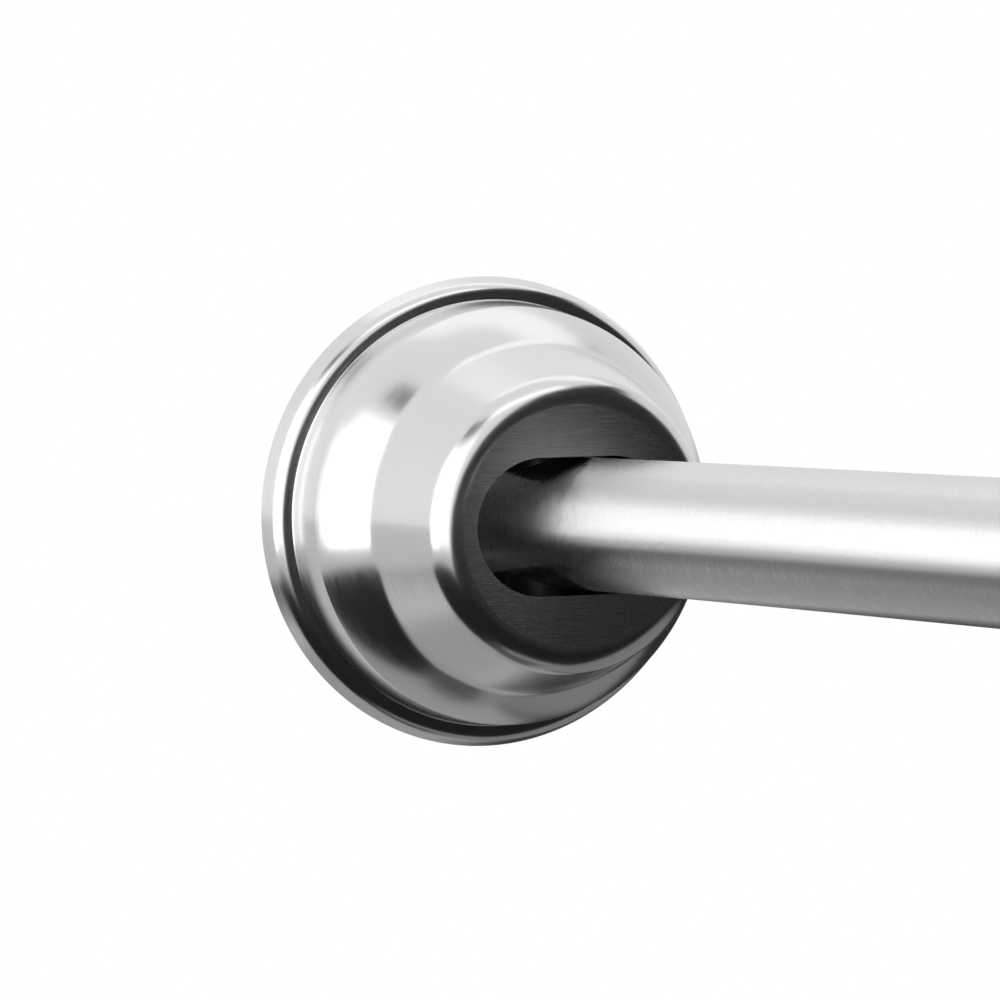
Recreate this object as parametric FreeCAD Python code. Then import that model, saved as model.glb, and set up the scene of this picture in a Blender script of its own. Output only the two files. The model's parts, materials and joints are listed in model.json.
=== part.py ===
"""Curved, telescoping curtain rod with a swivelling wall bracket and a domed cover at each end.

Frame, in millimetres: the origin is the middle of the left wall pad's back face, on the wall. +X runs from
wall to wall, +Y is the way the rod bows out into the room, and +Z is up. Both ends carry the same bracket
and cover. Every end piece is built at the left end and mirrored for the right one, with the suffix _a on
the left and _b on the right.

The rod's centre line is one circular arc that runs through both pivot bolts, so the inner tube slides in
the outer one by turning about the middle of that arc.
"""
import FreeCAD, Part
import math
import os

from FreeCAD import Vector

# --- driving dimensions --------------------------------------------------------------------------------

wall_to_wall = 1524.0        # clear opening that the rod spans when it is fully drawn out
bow = 124.0                  # how far the rod's middle stands out from the line through the two pivots
pivot_offset = 30.3          # pivot bolt from the wall

outer_tube_od = 25.4
outer_tube_wall = 1.0
inner_tube_od = 22.2
inner_tube_wall = 1.0
outer_reach = 800.0          # outer tube, pivot to open end, along the arc
overlap = 100.0              # inner tube inside the outer tube when fully drawn out
tail_gap = 3.3               # between the rod's end and the rivet heads on the yoke

cover_rim_height = 3.5       # leaning wall of the rim, up to its rounded corner
cover_rim_taper = 1.34       # how far that wall leans in
cover_rim_corner = 3.0
cover_land_width = 1.4       # land round the foot of the dome, inside the corner
cover_land_lean = 12.0       # lean of the land, in degrees from square to the axis
cover_step_height = 10.14    # steep wall from the land up to the ridge
cover_step_taper = 1.2
shoulder_radius = 42.0       # convex arc of the dome
shoulder_start = 24.0        # slope of the dome against the axis, in degrees, at the ridge
shoulder_end = 40.0          # and where the hollow of the neck starts
neck_radius = 8.0            # concave arc of the neck
nose_draft = 17.0            # slope of the nose's conical side, in degrees
nose_side = 17.1            # length of that side
nose_corner = 5.9            # rounded edge of the flat front
flat_margin = 2.77           # flat front past the slot's ends
cover_sheet = 0.9
slot_side_gap = 0.5          # slot above and below the outer tube
slot_end_gap = 0.5           # slot past the outer tube when the rod is fully drawn out

pad_thickness = 1.0
plate_gap = 4.36             # plate's edge from the inside of the cover's rim
plate_thickness = 2.5
plate_edge = 0.5             # chamfer of the plate's front edge
screw_circle = 62.0
screw_count = 4
screw_hole = 4.8

yoke_sheet = 2.5
yoke_width = 20.0
yoke_bend = 2.0              # inside bend radius
bolt_diameter = 5.9
hex_across_flats = 10.0
bolt_head_height = 4.0
nut_height = 5.0
bolt_stub = 1.5              # bolt past the nut
washer_diameter = 12.0
washer_thickness = 1.2
saddle_diameter = 16.0
saddle_height = 2.7          # from the crown of the outer tube to the ear

rivet_diameter = 3.2
rivet_head_diameter = 6.0
rivet_head_height = 1.2
rivet_tail_height = 0.8
yoke_rivet_y = 6.0
yoke_rivet_z = 9.0

clip_sheet = 0.8
clip_width = 8.0
clip_height = 6.0            # spring leg, from the plate
clip_foot = 11.0             # clip foot on the plate, measured in from the plate's edge
clip_rivet_inset = 6.0       # clip rivet in from the plate's edge

plug_depth = 30.0            # end plug inside the tube
plug_flange = 1.5
collar_length = 16.0
collar_wall = 1.5
collar_lip = 1.4
collar_fillet = 0.6
mouth_bush_length = 20.0
mouth_bush_flange = 1.5
glide_length = 6.0           # glide bush past the end of the inner tube
glide_spigot = 12.0
glide_wall = 3.1             # of the glide bush inside the inner tube
lock_screw_diameter = 4.0
lock_screw_inset = 6.0       # lock screw back from the open end of the outer tube
lock_socket_flats = 2.0
lock_socket_depth = 1.5

running_gap = 0.05           # radial clearance of what turns or slides
seat_gap = 0.02              # clearance of what is pressed or screwed together
bolt_hole_gap = 0.25         # bolt holes in sheet metal
trim_gap = 0.3               # round the rivet tails in the pad, and the inner tube in the collar

# --- the arc of the rod ----------------------------------------------------------------------------------

half_chord = wall_to_wall / 2 - pivot_offset
arc_radius = (half_chord**2 + bow**2) / (2 * bow)
arc_centre = Vector(wall_to_wall / 2, bow - arc_radius, 0)
half_angle = math.asin(half_chord / arc_radius)
rod_length = 2 * half_angle * arc_radius
inner_reach = rod_length - outer_reach + overlap

outer_radius = outer_tube_od / 2
outer_bore = outer_radius - outer_tube_wall
inner_radius = inner_tube_od / 2
inner_bore = inner_radius - inner_tube_wall
collar_radius = outer_radius + collar_wall

plate_front = pad_thickness + plate_thickness
yoke_front = plate_front + yoke_sheet
ear_inside = outer_radius + saddle_height
ear_outside = ear_inside + yoke_sheet

tail_corner = yoke_front + rivet_head_height + tail_gap
tail_reach = pivot_offset - tail_corner - outer_radius * math.sin(half_angle)
tube_tail = tail_reach / math.cos(half_angle) - plug_flange

UP = Vector(0, 0, 1)
FROM_WALL = Vector(1, 0, 0)
LEFT_PIVOT = Vector(pivot_offset, 0, 0)


def arc_angle(distance):
    """Angle on the arc, from its crown, of the point that lies this far along it from the left pivot."""
    return distance / arc_radius - half_angle


def arc_point(distance):
    angle = arc_angle(distance)
    return arc_centre + Vector(math.sin(angle), math.cos(angle), 0) * arc_radius


def arc_heading(distance):
    angle = arc_angle(distance)
    return Vector(math.cos(angle), -math.sin(angle), 0)


def bar(radius, start, end):
    """Round bar bent along the arc, between two distances from the left pivot."""
    circle = Part.makeCircle(radius, arc_point(start), arc_heading(start))
    disc = Part.Face(Part.Wire(circle))
    turn = math.degrees((end - start) / arc_radius)
    return disc.revolve(arc_centre, UP, -turn)


def tube(outer, inner, start, end):
    """Tube bent along the arc."""
    rings = [Part.Wire(Part.makeCircle(r, arc_point(start), arc_heading(start))) for r in (outer, inner)]
    face = Part.makeFace(rings, "Part::FaceMakerBullseye")
    turn = math.degrees((end - start) / arc_radius)
    return face.revolve(arc_centre, UP, -turn)


# --- small shapes --------------------------------------------------------------------------------------

def rod_z(radius, low, high, at=LEFT_PIVOT):
    """Upright cylinder round a point."""
    return Part.makeCylinder(radius, high - low, Vector(at.x, at.y, low))


def rod_x(radius, low, high, y=0.0, z=0.0):
    """Cylinder square to the wall."""
    return Part.makeCylinder(radius, high - low, Vector(low, y, z), FROM_WALL)


def hexagon(across_flats, low, high, at=LEFT_PIVOT):
    """Upright hexagonal prism round a point."""
    corner = across_flats / math.sqrt(3)
    angles = [math.radians(60 * i) for i in range(7)]
    points = [Vector(at.x + corner * math.cos(a), at.y + corner * math.sin(a), low) for a in angles]
    return Part.Face(Part.makePolygon(points)).extrude(UP * (high - low))


def wire_of(points):
    """Closed wire through points; a tuple of three points in the list is an arc through its middle one."""
    edges = []
    for first, second in zip(points, points[1:] + points[:1]):
        start = first[-1] if isinstance(first, tuple) else first
        if isinstance(second, tuple):
            if start.distanceToPoint(second[0]) > 1e-6:
                edges.append(Part.makeLine(start, second[0]))
            edges.append(Part.Arc(*second).toShape())
        elif start.distanceToPoint(second) > 1e-6:
            edges.append(Part.makeLine(start, second))
    return Part.Wire(edges)


# --- the cover -----------------------------------------------------------------------------------------

def bend(start, radius, slope_from, slope_to):
    """Arc of the cover's outline from a point, turning from one slope against the axis to another."""
    side = 1 if slope_to > slope_from else -1

    def point(slope):
        a, b = math.radians(slope_from), math.radians(slope)
        along = radius * side * (math.sin(b) - math.sin(a))
        inward = radius * side * (math.cos(a) - math.cos(b))
        return Vector(start.x + along, 0, start.z - inward)

    return start, point((slope_from + slope_to) / 2), point(slope_to)


def cover_outline(base_radius):
    """Outer outline of the cover, from its base on the wall to the edge of its flat front."""
    wall_top = Vector(cover_rim_height, 0, base_radius - cover_rim_taper)
    wall_slope = math.degrees(math.atan2(cover_rim_taper, cover_rim_height))
    rim = bend(wall_top, cover_rim_corner, wall_slope, 90 - cover_land_lean)
    land_rise = cover_land_width * math.tan(math.radians(cover_land_lean))
    crease = rim[-1] + Vector(land_rise, 0, -cover_land_width)
    ridge = crease + Vector(cover_step_height, 0, -cover_step_taper)
    shoulder = bend(ridge, shoulder_radius, shoulder_start, shoulder_end)
    neck = bend(shoulder[-1], neck_radius, shoulder_end, nose_draft)
    draft = math.radians(nose_draft)
    side_end = neck[-1] + Vector(nose_side * math.cos(draft), 0, -nose_side * math.sin(draft))
    nose = bend(side_end, nose_corner, nose_draft, 90)
    return [Vector(0, 0, base_radius), rim, crease, ridge, shoulder, neck, side_end, nose]


cover_depth = cover_outline(0)[-1][-1].x
mouth_heading = math.asin((wall_to_wall / 2 - cover_depth) / arc_radius)
mouth_side = arc_centre.y + arc_radius * math.cos(mouth_heading)
slot_reach = mouth_side + outer_radius / math.cos(mouth_heading) + slot_end_gap
slot_end_radius = outer_radius + slot_side_gap
flat_radius = slot_reach + flat_margin
cover_base_radius = flat_radius - cover_outline(0)[-1][-1].z
cover_rim_inside = cover_base_radius - cover_rim_taper - cover_sheet
plate_radius = cover_rim_inside - plate_gap


def cover():
    """Stamped sheet cover with the slot that the rod swings in."""
    outline = wire_of(cover_outline(cover_base_radius) + [Vector(cover_depth, 0, 0), Vector(0, 0, 0)])
    dome = Part.Face(outline).revolve(Vector(0, 0, 0), FROM_WALL, 360)
    back = min(dome.Faces, key=lambda face: face.CenterOfMass.x)
    shell = dome.makeThickness([back], -cover_sheet, 1e-4)
    half_straight = slot_reach - slot_end_radius
    low = cover_depth - 4 * cover_sheet
    deep = 6 * cover_sheet
    corner = Vector(low, -half_straight, -slot_end_radius)
    slot = Part.makeBox(deep, 2 * half_straight, 2 * slot_end_radius, corner)
    for side in (-1, 1):
        slot = slot.fuse(rod_x(slot_end_radius, low, low + deep, side * half_straight))
    return shell.cut(slot.removeSplitter())


# --- the wall bracket --------------------------------------------------------------------------------------

clip_rivet_z = plate_radius - clip_rivet_inset


def screw_places():
    """Middles of the wall screw holes, as (y, z)."""
    step = 2 * math.pi / screw_count
    angles = [step * (i + 0.5) for i in range(screw_count)]
    return [(screw_circle / 2 * math.cos(a), screw_circle / 2 * math.sin(a)) for a in angles]


def yoke_rivet_places():
    return [(y, z) for y in (-yoke_rivet_y, yoke_rivet_y) for z in (-yoke_rivet_z, yoke_rivet_z)]


def rivet_places():
    """Rivets of the yoke and of the two clips, each as (y, z, front of what it holds)."""
    yoke_ones = [(y, z, yoke_front) for y, z in yoke_rivet_places()]
    clip_ones = [(0.0, side * clip_rivet_z, plate_front + clip_sheet) for side in (-1, 1)]
    return yoke_ones + clip_ones


def wall_pad():
    """Soft gasket behind the plate, with room for the rivets' tails."""
    pad = rod_x(plate_radius, 0, pad_thickness)
    for y, z in screw_places():
        pad = pad.cut(rod_x(screw_hole / 2, -1, pad_thickness + 1, y, z))
    for y, z, _ in rivet_places():
        pad = pad.cut(rod_x(rivet_head_diameter / 2 + trim_gap, -1, pad_thickness + 1, y, z))
    return pad


def wall_plate():
    """Round stamped plate that is screwed to the wall."""
    plate = rod_x(plate_radius, pad_thickness, plate_front)
    rim = [edge for edge in plate.Edges if abs(edge.CenterOfMass.x - plate_front) < 1e-6]
    plate = plate.makeChamfer(plate_edge, rim)
    for y, z in screw_places():
        plate = plate.cut(rod_x(screw_hole / 2, 0, plate_front + 1, y, z))
    for y, z, _ in rivet_places():
        plate = plate.cut(rod_x(rivet_diameter / 2 + seat_gap, 0, plate_front + 1, y, z))
    return plate


def quarter_turn(centre, radius, side):
    """Arc of the yoke's bend, from its base to the upper (side 1) or lower (side -1) ear."""
    diagonal = radius / math.sqrt(2)
    return (centre + Vector(-radius, 0, 0), centre + Vector(-diagonal, 0, side * diagonal),
            centre + Vector(0, 0, side * radius))


def yoke():
    """Bent strip with an ear above and an ear below the rod."""
    outer_bend = yoke_bend + yoke_sheet
    halves = []
    for side in (1, -1):
        outer_centre = Vector(plate_front + outer_bend, 0, side * (ear_outside - outer_bend))
        inner_centre = Vector(yoke_front + yoke_bend, 0, side * (ear_inside - yoke_bend))
        halves.append([quarter_turn(outer_centre, outer_bend, side),
                       Vector(pivot_offset, 0, side * ear_outside),
                       Vector(pivot_offset, 0, side * ear_inside),
                       quarter_turn(inner_centre, yoke_bend, side)[::-1]])
    upper, lower = halves
    lower_back_to_front = [lower[3][::-1], lower[2], lower[1], lower[0][::-1]]
    strip = Part.Face(wire_of(upper + lower_back_to_front)).extrude(Vector(0, yoke_width, 0))
    strip.translate(Vector(0, -yoke_width / 2, 0))
    for low in (ear_inside, -ear_outside):
        strip = strip.fuse(rod_z(yoke_width / 2, low, low + yoke_sheet))
    strip = strip.cut(rod_z(bolt_diameter / 2 + bolt_hole_gap, -2 * ear_outside, 2 * ear_outside))
    for y, z in yoke_rivet_places():
        strip = strip.cut(rod_x(rivet_diameter / 2 + seat_gap, 0, yoke_front + 1, y, z))
    return strip.removeSplitter()


def rivet(y, z, seat):
    """Rivet with a low domed head at the front and a flat tail behind the plate."""
    sagitta, half = rivet_head_height, rivet_head_diameter / 2
    sphere = (half**2 + sagitta**2) / (2 * sagitta)
    ball = Part.makeSphere(sphere, Vector(seat + sagitta - sphere, y, z))
    head = ball.common(rod_x(half + 1, seat, seat + sagitta + 1, y, z))
    shank = rod_x(rivet_diameter / 2, pad_thickness - rivet_tail_height, seat, y, z)
    tail = rod_x(half, pad_thickness - rivet_tail_height, pad_thickness, y, z)
    return head.fuse(shank).fuse(tail).removeSplitter()


def rivets():
    return Part.makeCompound([rivet(*place) for place in rivet_places()])


def cover_clip(side):
    """Bent spring clip: a foot on the plate, and a leg inside the steep wall of the cover."""
    foot_start = plate_radius - clip_foot
    foot_corner = Vector(plate_front, -clip_width / 2, foot_start)
    foot = Part.makeBox(clip_sheet, clip_width, clip_foot + 1, foot_corner)
    leg = Part.makeBox(clip_height, clip_width, clip_foot + 1, foot_corner)
    leg = leg.cut(rod_x(plate_radius - clip_sheet, 0, plate_front + clip_height + 1))
    clip = foot.fuse(leg).common(rod_x(plate_radius, 0, plate_front + clip_height + 1)).removeSplitter()
    clip = clip.cut(rod_x(rivet_diameter / 2 + seat_gap, 0, plate_front + clip_height, 0, clip_rivet_z))
    if side < 0:
        clip = clip.mirror(Vector(0, 0, 0), UP)
    return clip


def cover_clips():
    return Part.makeCompound([cover_clip(side) for side in (1, -1)])


# --- the pivot -----------------------------------------------------------------------------------------

bolt_radius = bolt_diameter / 2
head_seat = ear_outside + washer_thickness


def pivot_bolt():
    """Hex bolt down through both ears and the rod's end."""
    shank = rod_z(bolt_radius, -(head_seat + nut_height + bolt_stub), head_seat)
    head = hexagon(hex_across_flats, head_seat, head_seat + bolt_head_height)
    crown = Part.makeCone(hex_across_flats / 2 + bolt_head_height, hex_across_flats / 2, bolt_head_height,
                          Vector(pivot_offset, 0, head_seat))
    return shank.fuse(head.common(crown)).removeSplitter()


def pivot_nut():
    nut = hexagon(hex_across_flats, -(head_seat + nut_height), -head_seat)
    return nut.cut(rod_z(bolt_radius + seat_gap, -2 * head_seat, 0))


def pivot_washers():
    """One washer under the bolt's head and one under the nut."""
    hole = rod_z(bolt_radius + bolt_hole_gap, -2 * head_seat, 2 * head_seat)
    pair = [rod_z(washer_diameter / 2, low, low + washer_thickness) for low in (ear_outside, -head_seat)]
    return Part.makeCompound([washer.cut(hole) for washer in pair])


def saddle_washers(tube_radius):
    """Pair of nylon washers, hollowed to sit on the tube and flat where they rub on the ears."""
    reach = saddle_diameter
    tube_bar = bar(tube_radius + seat_gap, -reach, reach)
    hole = rod_z(bolt_radius + running_gap, -2 * ear_inside, 2 * ear_inside)
    face = ear_inside - running_gap
    spans = ((0, face), (-face, 0))
    blanks = [rod_z(saddle_diameter / 2, low, high) for low, high in spans]
    return Part.makeCompound([blank.cut(tube_bar).cut(hole) for blank in blanks])


def end_plug(tube_radius, bore_radius):
    """Nylon plug that fills the tube's end and turns on the bolt."""
    plug = bar(bore_radius - seat_gap, -tube_tail - plug_flange / 2, plug_depth - tube_tail)
    plug = plug.fuse(bar(tube_radius, -tube_tail - plug_flange, -tube_tail))
    plug = plug.removeSplitter()
    return plug.cut(rod_z(bolt_radius + running_gap, -ear_inside, ear_inside))


# --- the two tubes -------------------------------------------------------------------------------------

cross_hole = rod_z(bolt_radius + bolt_hole_gap, -ear_inside, ear_inside)
lock_place = outer_reach - lock_screw_inset


def lock_hole():
    """Hole for the lock screw, through the collar, the outer tube and the bush, from below."""
    return rod_z(lock_screw_diameter / 2 + seat_gap, -2 * collar_radius, 0, arc_point(lock_place))


def outer_tube():
    shell = tube(outer_radius, outer_bore, -tube_tail, outer_reach)
    return shell.cut(cross_hole).cut(lock_hole())


def inner_tube():
    """Inner tube, built at the left end like all end pieces and mirrored into place."""
    return tube(inner_radius, inner_bore, -tube_tail, inner_reach).cut(cross_hole)


def mouth_bush():
    """Thin nylon bush in the outer tube's open end, which the inner tube slides in."""
    bore = inner_radius + running_gap
    sleeve = tube(outer_bore - seat_gap, bore, outer_reach - mouth_bush_length, outer_reach)
    flange = tube(outer_radius, bore, outer_reach, outer_reach + mouth_bush_flange)
    return sleeve.fuse(flange).removeSplitter().cut(lock_hole())


def joint_collar():
    """Ring over the outer tube's open end; its lip hides the bush."""
    lip_start = outer_reach + mouth_bush_flange + seat_gap
    end = lip_start + collar_lip
    solid = bar(collar_radius, end - collar_length, end)
    rims = [edge for edge in solid.Edges if len(edge.Vertexes) == 1 and edge.Length > 6 * collar_radius]
    solid = solid.makeFillet(collar_fillet, rims)
    solid = solid.cut(bar(outer_radius + running_gap, end - 2 * collar_length, lip_start))
    solid = solid.cut(bar(inner_radius + trim_gap, lip_start - collar_length, end + collar_length))
    return solid.cut(lock_hole())


def lock_screw():
    """Socket set screw, from below, that holds the inner tube where it is set."""
    at = arc_point(lock_place)
    tip = -(inner_radius + running_gap)
    screw = rod_z(lock_screw_diameter / 2, -collar_radius, tip, at)
    return screw.cut(hexagon(lock_socket_flats, -collar_radius - 1, -collar_radius + lock_socket_depth, at))


def glide_bush():
    """Nylon bush on the inner tube's far end, which slides in the outer tube."""
    body = bar(outer_bore - running_gap, inner_reach, inner_reach + glide_length)
    body = body.fuse(bar(inner_bore - seat_gap, inner_reach - glide_spigot, inner_reach + glide_length / 2))
    body = body.removeSplitter()
    through = bar(inner_bore - glide_wall, inner_reach - 2 * glide_spigot, inner_reach + 2 * glide_length)
    return body.cut(through)


# --- write every piece -------------------------------------------------------------------------------------

def mirrored(shape):
    """The same piece at the right end."""
    return shape.mirror(Vector(wall_to_wall / 2, 0, 0), FROM_WALL)


def save(name, shape):
    solids = shape.Solids
    if not solids or not shape.isValid():
        raise ValueError(name + " is not a valid solid")
    whole = solids[0] if len(solids) == 1 else Part.makeCompound(solids)
    whole.exportStep(os.path.join("parts", name + ".step"))
    print(name, len(solids), round(sum(solid.Volume for solid in solids), 1))


def main():
    os.makedirs("parts", exist_ok=True)
    end_pieces = {
        "wall_pad": wall_pad, "wall_plate": wall_plate, "yoke": yoke, "rivets": rivets,
        "pivot_bolt": pivot_bolt, "pivot_nut": pivot_nut, "pivot_washers": pivot_washers,
        "cover_clips": cover_clips, "cover": cover,
    }
    for name, make in end_pieces.items():
        piece = make()
        save(name + "_a", piece)
        save(name + "_b", mirrored(piece))
    save("saddle_washers_a", saddle_washers(outer_radius))
    save("saddle_washers_b", mirrored(saddle_washers(inner_radius)))
    save("end_plug_a", end_plug(outer_radius, outer_bore))
    save("end_plug_b", mirrored(end_plug(inner_radius, inner_bore)))
    save("outer_tube", outer_tube())
    save("mouth_bush", mouth_bush())
    save("joint_collar", joint_collar())
    save("lock_screw", lock_screw())
    save("inner_tube", mirrored(inner_tube()))
    save("glide_bush", mirrored(glide_bush()))
    print("arc radius", round(arc_radius, 3), "half angle", round(math.degrees(half_angle), 4),
          "rod length", round(rod_length, 1))
    print("cover radius", round(cover_base_radius, 3), "depth", round(cover_depth, 3),
          "slot", round(2 * slot_reach, 3), "by", round(2 * slot_end_radius, 3))


main()
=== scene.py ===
"""Looks of a curved, telescoping curtain rod with a domed cover at each wall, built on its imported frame."""

import json
import math

import bmesh
import bpy
from mathutils import Matrix, Vector

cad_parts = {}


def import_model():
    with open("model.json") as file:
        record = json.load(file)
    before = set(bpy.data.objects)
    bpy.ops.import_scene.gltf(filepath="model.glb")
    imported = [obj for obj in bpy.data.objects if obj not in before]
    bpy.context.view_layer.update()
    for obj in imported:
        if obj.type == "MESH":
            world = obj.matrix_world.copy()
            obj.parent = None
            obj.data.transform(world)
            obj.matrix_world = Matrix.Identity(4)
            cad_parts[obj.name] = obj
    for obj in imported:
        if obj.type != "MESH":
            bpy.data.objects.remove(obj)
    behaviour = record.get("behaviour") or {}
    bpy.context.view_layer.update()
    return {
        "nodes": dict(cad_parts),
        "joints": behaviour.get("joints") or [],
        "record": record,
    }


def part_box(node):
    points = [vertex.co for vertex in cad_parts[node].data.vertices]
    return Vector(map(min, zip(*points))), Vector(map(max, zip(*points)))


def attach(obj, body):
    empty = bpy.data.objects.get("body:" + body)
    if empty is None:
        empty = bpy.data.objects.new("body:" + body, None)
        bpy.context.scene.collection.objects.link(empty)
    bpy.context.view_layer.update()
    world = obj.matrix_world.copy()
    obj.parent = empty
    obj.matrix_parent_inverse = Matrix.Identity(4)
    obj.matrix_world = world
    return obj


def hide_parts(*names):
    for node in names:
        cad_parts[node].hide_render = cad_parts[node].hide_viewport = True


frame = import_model()

MM = 0.001
joints = {joint["name"]: joint for joint in frame["joints"]}
left_pivot = Vector(joints["pivot_a"]["pos_m"])
right_pivot = Vector(joints["pivot_b"]["pos_m"])
arc_centre = Vector(joints["telescope"]["pos_m"])
arc_radius = (left_pivot - arc_centre).length
middle = (left_pivot + right_pivot) / 2


# --- helpers -----------------------------------------------------------------------------------------------

def linear(hex_colour):
    """Linear colour of an sRGB hex colour."""
    def channel(value):
        return value / 12.92 if value <= 0.04045 else ((value + 0.055) / 1.055) ** 2.4
    return tuple(channel(int(hex_colour[i:i + 2], 16) / 255) for i in (1, 3, 5)) + (1.0,)


def add(tree, kind, settings=(), inputs=()):
    """Adds a node to a tree; an input's value is a number, a colour or another node's output."""
    node = tree.nodes.new(kind)
    for name, value in dict(settings).items():
        setattr(node, name, value)
    for name, value in dict(inputs).items():
        if isinstance(value, bpy.types.NodeSocket):
            tree.links.new(value, node.inputs[name])
        else:
            node.inputs[name].default_value = value
    return node


def new_material(name, colour, roughness, metallic=0.0, **sockets):
    """Material with one Principled shader; returns it with its tree and shader."""
    material = bpy.data.materials.new(name)
    material.use_nodes = True
    tree = material.node_tree
    shader = tree.nodes["Principled BSDF"]
    shader.inputs["Base Color"].default_value = linear(colour)
    shader.inputs["Roughness"].default_value = roughness
    shader.inputs["Metallic"].default_value = metallic
    for socket, value in sockets.items():
        shader.inputs[socket.replace("_", " ")].default_value = value
    return material, tree, shader


def as_piece(bm, name, body, replaced, materials):
    """Turns a bmesh into an object that rides on a body and stands for a node of the frame."""
    mesh = bpy.data.meshes.new(name)
    bm.to_mesh(mesh)
    bm.free()
    for material in materials:
        mesh.materials.append(material)
    mesh.shade_smooth()
    piece = bpy.data.objects.new(name, mesh)
    bpy.context.scene.collection.objects.link(piece)
    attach(piece, body)
    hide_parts(replaced)
    return piece


# --- finishes ----------------------------------------------------------------------------------------------

def maths(tree, operation, *values):
    """Output of a Math node."""
    return add(tree, "ShaderNodeMath", {"operation": operation}, dict(enumerate(values))).outputs[0]


def object_place(tree):
    """Place on the piece, in metres."""
    return add(tree, "ShaderNodeTexCoord").outputs["Object"]


def spread(tree, value, low, high):
    """The middle of a pattern's 0 to 1, where noise mostly lies, spread from low to high."""
    pattern_low, pattern_high = 0.3, 0.7
    return add(tree, "ShaderNodeMapRange", inputs={
        "Value": value, "From Min": pattern_low, "From Max": pattern_high,
        "To Min": low, "To Max": high}).outputs[0]


def dent(tree, shader, height, depth):
    """Turns a pattern into dents of a depth in metres."""
    bump = add(tree, "ShaderNodeBump", inputs={"Height": height, "Strength": 1.0, "Distance": depth})
    tree.links.new(bump.outputs[0], shader.inputs["Normal"])


def grain(tree, shader, grain_size, depth, roughness, detail=3.0):
    """Fine grain of a size in metres, which dents the surface and varies its roughness between two values."""
    noise = add(tree, "ShaderNodeTexNoise", inputs={
        "Vector": object_place(tree), "Scale": 1 / grain_size, "Detail": detail}).outputs["Fac"]
    tree.links.new(spread(tree, noise, *roughness), shader.inputs["Roughness"])
    dent(tree, shader, noise, depth)
    return noise


def along_brush(tree, shader):
    """Spreads highlights square to the brush marks, which is the way that the map "brush" runs."""
    tangent = add(tree, "ShaderNodeTangent", {"direction_type": "UV_MAP", "uv_map": "brush"})
    tree.links.new(tangent.outputs[0], shader.inputs["Tangent"])


def spun_nickel():
    """Satin nickel plate on a spun dome: soft mirror with hair-fine rings left by the brushing wheel."""
    material, tree, shader = new_material("spun_satin_nickel", "#D6D6D5", 0.19, 1.0, Anisotropic=0.4)
    ring_spacing = 0.25 * MM
    ring_depth = 0.002 * MM
    ring_breaks = 5.0           # times that a ring changes round the dome
    roughness = (0.17, 0.22)
    parts = add(tree, "ShaderNodeSeparateXYZ", inputs={"Vector": object_place(tree)}).outputs
    y, z = parts["Y"], parts["Z"]
    angle = maths(tree, "ARCTAN2", z, y)
    flat_yz = add(tree, "ShaderNodeCombineXYZ", inputs={"Y": y, "Z": z}).outputs[0]
    radius = add(tree, "ShaderNodeVectorMath", {"operation": "LENGTH"}, {0: flat_yz}).outputs["Value"]
    turn = add(tree, "ShaderNodeCombineXYZ", inputs={
        "X": maths(tree, "DIVIDE", maths(tree, "ADD", parts["X"], radius), ring_spacing),
        "Y": maths(tree, "MULTIPLY", maths(tree, "COSINE", angle), ring_breaks),
        "Z": maths(tree, "MULTIPLY", maths(tree, "SINE", angle), ring_breaks)}).outputs[0]
    rings = add(tree, "ShaderNodeTexNoise", inputs={
        "Vector": turn, "Scale": 1.0, "Detail": 2.0}).outputs["Fac"]
    tree.links.new(spread(tree, rings, *roughness), shader.inputs["Roughness"])
    dent(tree, shader, rings, ring_depth)
    along_brush(tree, shader)
    return material


def flat_nickel():
    """Satin nickel on the flat front: straight level brush lines, which spread light up and down."""
    # painted reflection: the base colour is a little darker and warmer than the dome's nickel, a tint of the
    # dark, brownish surroundings that the flat reflects
    material, tree, shader = new_material("line_brushed_nickel", "#D2D1D0", 0.25, 1.0, Anisotropic=0.6)
    line_spacing = 0.2 * MM
    line_length = 14.0 * MM
    line_depth = 0.002 * MM
    roughness = (0.23, 0.29)
    stretched = add(tree, "ShaderNodeVectorMath", {"operation": "DIVIDE"}, {
        0: object_place(tree), 1: (line_length, line_length, line_spacing)}).outputs[0]
    lines = add(tree, "ShaderNodeTexNoise", inputs={
        "Vector": stretched, "Scale": 1.0, "Detail": 3.0}).outputs["Fac"]
    tree.links.new(spread(tree, lines, *roughness), shader.inputs["Roughness"])
    dent(tree, shader, lines, line_depth)
    along_brush(tree, shader)
    return material


def tube_nickel():
    """Satin nickel on drawn tube, brushed round it: fine scratches square to the tube's length."""
    material, tree, shader = new_material("tube_brushed_nickel", "#D6D6D6", 0.3, 1.0, Anisotropic=0.85)
    scratch_spacing = 0.35 * MM
    scratch_length = 3.0 * MM
    scratch_depth = 0.004 * MM
    roughness = (0.26, 0.34)
    from_centre = add(tree, "ShaderNodeVectorMath", {"operation": "SUBTRACT"}, {
        0: object_place(tree), 1: tuple(arc_centre)}).outputs[0]
    parts = add(tree, "ShaderNodeSeparateXYZ", inputs={"Vector": from_centre}).outputs
    angle = maths(tree, "ARCTAN2", parts["X"], parts["Y"])
    reach = add(tree, "ShaderNodeVectorMath", {"operation": "LENGTH"}, {0: from_centre}).outputs["Value"]
    vector = add(tree, "ShaderNodeCombineXYZ", inputs={
        "X": maths(tree, "MULTIPLY", angle, arc_radius / scratch_spacing),
        "Y": maths(tree, "DIVIDE", reach, scratch_length),
        "Z": maths(tree, "DIVIDE", parts["Z"], scratch_length)}).outputs[0]
    scratches = add(tree, "ShaderNodeTexNoise", inputs={
        "Vector": vector, "Scale": 1.0, "Detail": 3.0}).outputs["Fac"]
    tree.links.new(spread(tree, scratches, *roughness), shader.inputs["Roughness"])
    dent(tree, shader, scratches, scratch_depth)
    along_brush(tree, shader)
    return material


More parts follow.
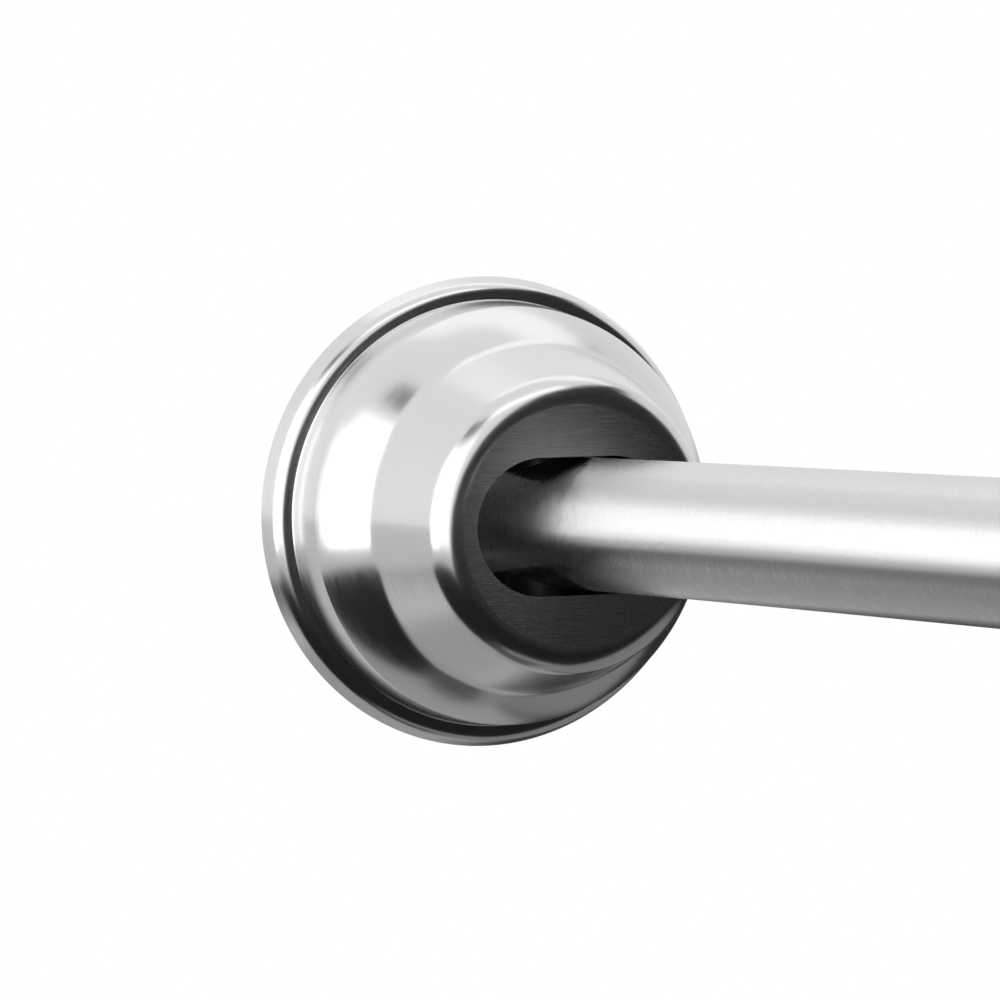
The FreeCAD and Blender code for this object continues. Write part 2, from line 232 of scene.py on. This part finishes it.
def painted_shade_inside():
    """Inside of the stamped sheet: dull and dark, a painted shade that lets the hollow go almost black."""
    # painted shade: the dark colour stands in for the shade inside the cover's hollow
    material, tree, shader = new_material("inside_painted_shade", "#3C3A38", 0.6, 0.0, Specular_IOR_Level=0.3)
    grain(tree, shader, 0.8 * MM, 0.01 * MM, (0.5, 0.7))
    return material


def zinc_sheet():
    """Zinc plate on stamped steel: cool grey, cloudy sheen with a faint crystal mottle."""
    material, tree, shader = new_material("zinc_plated_sheet", "#BFC3C7", 0.35, 1.0)
    noise = grain(tree, shader, 1.6 * MM, 0.004 * MM, (0.28, 0.42))
    cloud = add(tree, "ShaderNodeMix", {"data_type": "RGBA"}, {
        "Factor": noise, 6: linear("#B4B9BE"), 7: linear("#C9CCCE")}).outputs[2]
    tree.links.new(cloud, shader.inputs["Base Color"])
    return material


def zinc_bolt():
    """Zinc plate on cold-headed bolts and nuts: brighter than the sheet, with a tumbled surface."""
    material, tree, shader = new_material("zinc_plated_bolt", "#C6C4BE", 0.3, 1.0)
    grain(tree, shader, 0.7 * MM, 0.006 * MM, (0.24, 0.38))
    return material


def steel_rivet():
    """Plain rivet steel: darker grey, a little hammered where the heads were closed."""
    material, tree, shader = new_material("plain_rivet_steel", "#A6A4A0", 0.35, 1.0)
    grain(tree, shader, 1.2 * MM, 0.02 * MM, (0.3, 0.45), 1.0)
    return material


def spring_steel():
    """Tempered spring strip: dark straw-grey, drawn along its length."""
    material, tree, shader = new_material("tempered_spring_steel", "#8C8880", 0.28, 1.0)
    grain(tree, shader, 0.3 * MM, 0.003 * MM, (0.22, 0.34))
    return material


def collar_nickel():
    """Satin nickel on the turned collar: smoother than the tube, with fine tool marks."""
    material, tree, shader = new_material("turned_satin_nickel", "#D6D6D6", 0.26, 1.0)
    grain(tree, shader, 0.25 * MM, 0.002 * MM, (0.22, 0.3))
    return material


def moulded_nylon():
    """Nylon coloured near black, a painted shade that keeps the plugs and washers seen through the slot dark;
    a soft sheen on a slightly uneven moulded skin.
    """
    # painted shade: near black in place of the nylon's cream, so that it stays dark in the cover's hollow
    material, tree, shader = new_material("nylon_painted_dark", "#1C1C1D", 0.42)
    grain(tree, shader, 1.5 * MM, 0.015 * MM, (0.36, 0.5))
    return material


def foam_pad():
    """Closed-cell foam gasket: dark grey and matt, with a fine cell texture."""
    material, tree, shader = new_material("closed_cell_foam", "#3E3F41", 0.9, Specular_IOR_Level=0.3)
    cell_size = 0.5 * MM
    cells = add(tree, "ShaderNodeTexVoronoi", inputs={
        "Vector": object_place(tree), "Scale": 1 / cell_size}).outputs["Distance"]
    tree.links.new(spread(tree, cells, 0.8, 0.95), shader.inputs["Roughness"])
    dent(tree, shader, cells, 0.1 * MM)
    return material


def black_oxide():
    """Oil-blacked steel set screw: near black with a dull metal sheen."""
    material, tree, shader = new_material("black_oxide_steel", "#34332F", 0.4, 1.0)
    grain(tree, shader, 0.4 * MM, 0.004 * MM, (0.34, 0.48))
    return material


dome_finish = spun_nickel()
flat_finish = flat_nickel()
tube_finish = tube_nickel()
inside_finish = painted_shade_inside()


def finish_small_pieces():
    """Gives the bracket, pivot, clips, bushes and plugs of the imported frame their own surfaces."""
    sheet_zinc = zinc_sheet()
    by_slot = {"plate_zinc": sheet_zinc, "yoke_zinc": sheet_zinc, "washer_zinc": sheet_zinc,
               "bolt_zinc": zinc_bolt(), "rivet_steel": steel_rivet(), "spring_steel": spring_steel(),
               "collar_nickel": collar_nickel(), "nylon": moulded_nylon(), "pad_foam": foam_pad(),
               "black_screw": black_oxide()}
    for subpart in frame["record"]["subparts"]:
        if subpart["material_slot"] in by_slot:
            mesh = frame["nodes"][subpart["node"]].data
            mesh.materials.clear()
            mesh.materials.append(by_slot[subpart["material_slot"]])


finish_small_pieces()


# --- covers ------------------------------------------------------------------------------------------------

cover_low, cover_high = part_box("cover_a")
base_radius = (cover_high.z - cover_low.z) / 2
sheet = 0.9 * MM
rim_height = 3.5 * MM
rim_taper = 1.34 * MM
rim_corner = 3.0 * MM
land_width = 1.4 * MM
land_lean = 12.0            # degrees from square to the axis
step_height = 10.14 * MM
step_taper = 1.2 * MM
shoulder_bend = (42.0 * MM, 24.0, 40.0)     # radius, and slope against the axis where it starts and ends
neck_bend = (8.0 * MM, 40.0, 17.0)
nose_side = 17.1 * MM
nose_bend = (5.9 * MM, 17.0, 90.0)
crease_round = 0.35 * MM
ridge_round = 0.6 * MM
slot_end_radius = 13.2 * MM
slot_reach = 20.356 * MM
edge_round = 0.25 * MM
sharp_angle = 50.0          # degrees; a sheet edge turns by more, and a bend of the outline by less
dome_segments = 256
arc_step = 0.45 * MM
same_place = 1e-7


def bend(start, radius, slope_from, slope_to):
    """Points of an arc of the cover's outline, after its first, turning between two slopes in degrees."""
    side = 1 if slope_to > slope_from else -1
    first, last = math.radians(slope_from), math.radians(slope_to)
    count = max(4, round(radius * abs(last - first) / arc_step))
    points = []
    for i in range(1, count + 1):
        slope = first + (last - first) * i / count
        along = radius * side * (math.sin(slope) - math.sin(first))
        inward = radius * side * (math.cos(first) - math.cos(slope))
        points.append(Vector((start.x + along, start.y - inward)))
    return points


def line(start, end):
    """Points of a straight run of the outline, after its first."""
    count = max(2, round((end - start).length / (2 * arc_step)))
    return [start.lerp(end, i / count) for i in range(1, count + 1)]


def rounded(before, corner, after, radius):
    """Points of a small arc that takes the place of a corner of the outline."""
    back, ahead = (before - corner).normalized(), (after - corner).normalized()
    half_angle = back.angle(ahead) / 2
    reach = radius / math.tan(half_angle)
    centre = corner + (back + ahead).normalized() * radius / math.sin(half_angle)
    first, last = corner + back * reach - centre, corner + ahead * reach - centre
    steps = 4
    return [centre + first.lerp(last, i / steps).normalized() * radius for i in range(steps + 1)]


def cover_outline():
    """Outer outline of the dome as (distance from the wall, radius), from its base to its flat front."""
    wall_top = Vector((rim_height, base_radius - rim_taper))
    wall_slope = math.degrees(math.atan2(rim_taper, rim_height))
    lift = sheet * math.sin(math.radians(wall_slope))       # so that the sheet's inner edge meets the wall
    base = Vector((lift, base_radius - lift * rim_taper / rim_height))
    rim = bend(wall_top, rim_corner, wall_slope, 90 - land_lean)
    crease = rim[-1] + Vector((land_width * math.tan(math.radians(land_lean)), -land_width))
    ridge = crease + Vector((step_height, -step_taper))
    shoulder = bend(ridge, *shoulder_bend)
    points = [base] + line(base, wall_top) + rim
    points += rounded(rim[-1], crease, ridge, crease_round)
    points += line(points[-1], ridge)[:-1]
    points += rounded(crease, ridge, shoulder[0], ridge_round)
    points += shoulder[1:]
    points += bend(points[-1], *neck_bend)
    slope = math.radians(neck_bend[2])
    points += line(points[-1], points[-1] + nose_side * Vector((math.cos(slope), -math.sin(slope))))
    points += bend(points[-1], *nose_bend)
    return points


def cover(name, body, node, mirror_x=None):
    """Thin stamped dome, spun from its outline; its flat front runs in to the edge of the slot."""
    outline = cover_outline()
    bm = bmesh.new()
    chain = [bm.verts.new((point.x, 0, point.y)) for point in outline]
    edges = [bm.edges.new(pair) for pair in zip(chain, chain[1:])]
    bmesh.ops.spin(bm, geom=chain + edges, cent=(0, 0, 0), axis=(1, 0, 0), angle=math.tau,
                   steps=dome_segments, use_merge=True, use_duplicate=False)
    front = outline[-1].x
    flat_edges = [e for e in bm.edges if all(abs(v.co.x - front) < same_place for v in e.verts)]
    flat = bmesh.ops.extrude_edge_only(bm, edges=flat_edges)["geom"]
    half_straight = slot_reach - slot_end_radius
    for vert in (part for part in flat if isinstance(part, bmesh.types.BMVert)):
        across, up = Vector((vert.co.y, vert.co.z)).normalized() * slot_end_radius
        vert.co = Vector((front, across + math.copysign(half_straight, across), up))
    for face in (part for part in flat if isinstance(part, bmesh.types.BMFace)):
        face.material_index = 1
    brush = bm.loops.layers.uv.new("brush")
    for face in bm.faces:
        face_middle = face.calc_center_median()
        middle_angle = math.atan2(face_middle.z, face_middle.y)
        for loop in face.loops:
            spot = loop.vert.co
            turned = (math.atan2(spot.z, spot.y) - middle_angle + math.pi) % math.tau - math.pi
            down_dome = (spot.x - math.hypot(spot.y, spot.z), (middle_angle + turned) * base_radius)
            loop[brush].uv = (spot.z, spot.y) if face.material_index else down_dome
    if mirror_x is not None:
        bmesh.ops.scale(bm, vec=(-1, 1, 1), verts=bm.verts)
        bmesh.ops.translate(bm, vec=(mirror_x, 0, 0), verts=bm.verts)
    bmesh.ops.recalc_face_normals(bm, faces=bm.faces)
    top = max(bm.faces, key=lambda face: face.calc_center_median().z)
    if top.normal.z < 0:                                    # an open shell may come out inside out
        bmesh.ops.reverse_faces(bm, faces=bm.faces)
    # the sheet's inside, slots 2 and 3, takes the painted shade finish
    finishes = [dome_finish, flat_finish, inside_finish, inside_finish]
    piece = as_piece(bm, name, body, node, finishes)
    wall = piece.modifiers.new("sheet", "SOLIDIFY")
    wall.thickness = sheet
    wall.offset = -1
    wall.use_even_offset = True
    wall.material_offset = 2
    rounding = piece.modifiers.new("edges", "BEVEL")
    rounding.width = edge_round
    rounding.segments = 3
    rounding.limit_method = "ANGLE"
    rounding.angle_limit = math.radians(sharp_angle)
    rounding.harden_normals = True


cover("cover_left", "cover_a", "cover_a")
cover("cover_right", "cover_b", "cover_b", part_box("cover_b")[1].x)


# --- tubes -------------------------------------------------------------------------------------------------

outer_radius = 12.7 * MM
inner_radius = 11.1 * MM
tube_wall = 1.0 * MM
near_end = 1e-6


def tube_ends(node):
    """Angles of a tube's two ends on the rod's arc, from the arc's crown and growing to the right wall."""
    spots = [v.co for v in frame["nodes"][node].data.vertices]
    angles = [math.atan2(spot.x - arc_centre.x, spot.y - arc_centre.y) for spot in spots]
    return min(angles), max(angles)


def tube(name, node, body, radius, wall):
    """Bent tube, spun about the middle of its arc from end to end, with the ring of its wall at each end."""
    segments = 128
    steps_per_radian = 500
    left_end, right_end = tube_ends(node)
    turn = right_end - left_end
    bm = bmesh.new()
    direction = Vector((math.sin(left_end), math.cos(left_end), 0))
    start = arc_centre + direction * arc_radius
    heading = Vector((direction.y, -direction.x, 0))
    for ring_radius in (radius, radius - wall):
        ring = bmesh.ops.create_circle(bm, segments=segments, radius=ring_radius)["verts"]
        facing = Vector((0, 0, 1)).rotation_difference(heading).to_matrix().to_4x4()
        bmesh.ops.transform(bm, matrix=Matrix.Translation(start) @ facing, verts=ring)
    steps = round(turn * steps_per_radian)
    bmesh.ops.spin(bm, geom=bm.verts[:] + bm.edges[:], cent=arc_centre, axis=(0, 0, 1), angle=-turn,
                   steps=steps, use_merge=False, use_duplicate=False)
    for end in (left_end, right_end):
        normal = Vector((math.cos(end), -math.sin(end), 0))
        rim = [e for e in bm.edges if e.is_boundary and all(
            abs((v.co - arc_centre).dot(normal)) < near_end for v in e.verts)]
        bmesh.ops.bridge_loops(bm, edges=rim)
    bmesh.ops.recalc_face_normals(bm, faces=bm.faces)
    brush = bm.loops.layers.uv.new("brush")
    for face in bm.faces:
        spots = []
        for loop in face.loops:
            out = loop.vert.co - arc_centre
            reach = math.hypot(out.x, out.y)
            spots.append([math.atan2(out.x, out.y), math.atan2(out.z, reach - arc_radius)])
        highest = max(spot[1] for spot in spots)
        for loop, (along, around) in zip(face.loops, spots):
            if highest - around > math.pi:
                around += math.tau
            loop[brush].uv = (along * arc_radius / radius, around)
    as_piece(bm, name, body, node, [tube_finish])


tube("rod_outer_tube", "outer_tube", "outer_rod", outer_radius, tube_wall)
tube("rod_inner_tube", "inner_tube", "inner_rod", inner_radius, tube_wall)


# --- studio ------------------------------------------------------------------------------------------------

def camera():
    """Long lens at the left cover, a little above it and turned towards the room."""
    azimuth, elevation, roll = (math.radians(v) for v in (68.98, 3.46, -0.572))
    film_width = 36
    focal = 3.65                # focal length over the film's width
    distance = 718.4 * MM
    aim = Vector((20 * MM, 0, 0))
    aim_across, aim_down = 0.02201, 0.01746     # where the aim lies in the frame, from its middle
    back = Vector((math.sin(azimuth) * math.cos(elevation), -math.cos(azimuth) * math.cos(elevation),
                   math.sin(elevation)))
    level_right = Vector((0, 0, 1)).cross(back).normalized()
    level_up = back.cross(level_right)
    right = level_right * math.cos(roll) + level_up * math.sin(roll)
    up = level_up * math.cos(roll) - level_right * math.sin(roll)
    place = aim - distance * (-back + right * aim_across / focal - up * aim_down / focal)
    lens = bpy.data.cameras.new("camera")
    lens.sensor_width = film_width
    lens.lens = film_width * focal
    lens.clip_start = 0.01
    lens.clip_end = 100
    eye = bpy.data.objects.new("camera", lens)
    eye.matrix_world = Matrix.Translation(place) @ Matrix((right, up, back)).transposed().to_4x4()
    bpy.context.scene.collection.objects.link(eye)
    bpy.context.scene.camera = eye


def world():
    """White all round, as the metal and the camera see it, and a little less as light on matt surfaces."""
    fill_light = 0.8
    tent = bpy.data.worlds.new("white_tent")
    tent.use_nodes = True
    tree = tent.node_tree
    tree.nodes.clear()
    rays = add(tree, "ShaderNodeLightPath").outputs
    seen = rays["Is Camera Ray"]
    for kind in ("Is Glossy Ray", "Is Transmission Ray"):
        seen = maths(tree, "MAXIMUM", seen, rays[kind])
    strength = add(tree, "ShaderNodeMapRange", inputs={"Value": seen, "To Min": fill_light, "To Max": 1.0})
    background = add(tree, "ShaderNodeBackground", inputs={
        "Color": linear("#FFFFFF"), "Strength": strength.outputs[0]})
    output = add(tree, "ShaderNodeOutputWorld")
    tree.links.new(background.outputs[0], output.inputs["Surface"])
    bpy.context.scene.world = tent


def card_glow(name, half_wide, heights, brightness, distance, edge):
    """Glow of a card, which fades to clear over some degrees at each of its edges."""
    material = bpy.data.materials.new(name)
    material.use_nodes = True
    tree = material.node_tree
    tree.nodes.clear()
    parts = add(tree, "ShaderNodeSeparateXYZ", inputs={"Vector": object_place(tree)}).outputs
    height = maths(tree, "ARCSINE", maths(tree, "DIVIDE", parts["Z"], distance))
    limits = [(height, limit, inner) for limit, inner in (
        (heights[0], heights[0] + edge), (heights[1], heights[1] - edge)) if abs(limit) < 90]
    if half_wide < 180:
        bearing = maths(tree, "ABSOLUTE", maths(tree, "ARCTAN2", parts["Y"], parts["X"]))
        limits.append((bearing, half_wide, half_wide - edge))
    mask = 1.0
    for value, limit, inner in limits:
        fade = add(tree, "ShaderNodeMapRange", {"interpolation_type": "SMOOTHSTEP"}, {
            "Value": value, "From Min": math.radians(limit), "From Max": math.radians(inner)}).outputs[0]
        mask = maths(tree, "MULTIPLY", mask, fade)
    glow = add(tree, "ShaderNodeEmission", inputs={"Strength": brightness})
    clear = add(tree, "ShaderNodeBsdfTransparent")
    mixed = add(tree, "ShaderNodeMixShader", inputs={0: mask, 1: clear.outputs[0], 2: glow.outputs[0]})
    output = add(tree, "ShaderNodeOutputMaterial")
    tree.links.new(mixed.outputs[0], output.inputs["Surface"])
    return material


def card(name, bearings, heights, brightness, distance, edge, lights=False, pole=(0, 90)):
    """Curved studio card round the left cover, dark or glowing, between bearings and heights in degrees.
    Bearing 0 is along the rod's span and 90 towards its bow. A pole, as a bearing and height, turns an
    all-round card to face that way. Only a card that lights is seen by matt surfaces too."""
    rows, columns = 16, 36
    half_wide = (bearings[1] - bearings[0]) / 2
    bm = bmesh.new()
    chain = []
    for i in range(rows + 1):
        height = math.radians(heights[0] + (heights[1] - heights[0]) * i / rows)
        spot = Vector((distance * math.cos(height), 0, distance * math.sin(height)))
        chain.append(bm.verts.new(Matrix.Rotation(-math.radians(half_wide), 3, "Z") @ spot))
    edges = [bm.edges.new(pair) for pair in zip(chain, chain[1:])]
    bmesh.ops.spin(bm, geom=chain + edges, cent=(0, 0, 0), axis=(0, 0, 1), steps=columns,
                   angle=math.radians(2 * half_wide), use_merge=False, use_duplicate=False)
    mesh = bpy.data.meshes.new(name)
    bm.to_mesh(mesh)
    bm.free()
    mesh.materials.append(card_glow(name, half_wide, heights, brightness, distance, edge))
    flag = bpy.data.objects.new(name, mesh)
    tilt = Matrix.Rotation(math.radians(90 - pole[1]), 4, "Y")
    turn = Matrix.Rotation(math.radians(pole[0] + sum(bearings) / 2), 4, "Z")
    flag.matrix_world = turn @ tilt
    flag.visible_camera = False
    flag.visible_diffuse = lights
    flag.visible_shadow = False
    bpy.context.scene.collection.objects.link(flag)


def cards():
    """White light from the left, the back and above, and weaker from the bow's side; a dark room in front and
    a dark floor give the metal its depth."""
    card("softbox_left", (-107, -30), (-14, 44), 1.7, 2.2, 4.0, True)
    card("softbox_core", (-108, -72), (-14, 35), 3.2, 2.18, 4.0, True)
    card("softbox_over", (-45, 40), (52, 68), 1.8, 2.2, 4.0, True)
    card("softbox_back", (95, 205), (45, 75), 1.35, 2.2, 8.0, True)
    card("gap_in_softboxes", (-100, -45), (45, 62), 0.25, 2.15, 6.0)
    card("dark_room", (-180, 180), (3, 90), 0.03, 2.1, 3.0, pole=(60, -27))
    card("dark_floor", (-130, 150), (-90, -19), 0.015, 2.05, 5.0)
    card("softbox_far_side", (72, 150), (-5, 50), 0.9, 1.99, 10.0, True)
    card("grey_wall_side", (145, 238), (-90, -35), 0.4, 2.02, 8.0)
    card("grey_floor", (50, 150), (-76, -24), 0.25, 2.0, 10.0)
    card("brown_below", (-180, 180), (-90, -67), 0.1, 1.97, 8.0)
    card("grey_below", (-50, 170), (-88, -64), 0.28, 1.95, 10.0)


def floor():
    """Pale floor as far below as a bath's, white to the camera except for the rod's soft shadow."""
    below = 2.4
    size = 80.0
    shadow_share = 0.3          # of the floor's own shading near the rod
    white_reach = 6.0           # where the floor has become plain white
    bm = bmesh.new()
    bmesh.ops.create_grid(bm, x_segments=1, y_segments=1, size=size / 2)
    bmesh.ops.translate(bm, vec=(middle.x, 0, -below), verts=bm.verts)
    mesh = bpy.data.meshes.new("floor")
    bm.to_mesh(mesh)
    bm.free()
    material, tree, shader = new_material("matt_white_floor", "#E8E8E8", 0.9, Specular_IOR_Level=0.0)
    from_middle = add(tree, "ShaderNodeVectorMath", {"operation": "DISTANCE"}, {
        0: object_place(tree), 1: (middle.x, 0, -below)}).outputs["Value"]
    whiteness = add(tree, "ShaderNodeMapRange", inputs={
        "Value": from_middle, "From Max": white_reach, "To Min": 1 - shadow_share}).outputs[0]
    seen = add(tree, "ShaderNodeLightPath").outputs["Is Camera Ray"]
    glow = add(tree, "ShaderNodeEmission", inputs={"Strength": 1.0})
    both = add(tree, "ShaderNodeMixShader", inputs={
        0: maths(tree, "MULTIPLY", whiteness, seen), 1: shader.outputs[0], 2: glow.outputs[0]})
    tree.links.new(both.outputs[0], tree.nodes["Material Output"].inputs["Surface"])
    mesh.materials.append(material)
    ground = bpy.data.objects.new("floor", mesh)
    bpy.context.scene.collection.objects.link(ground)


camera()
world()
cards()
floor()
bpy.context.scene.view_settings.view_transform = "Standard"
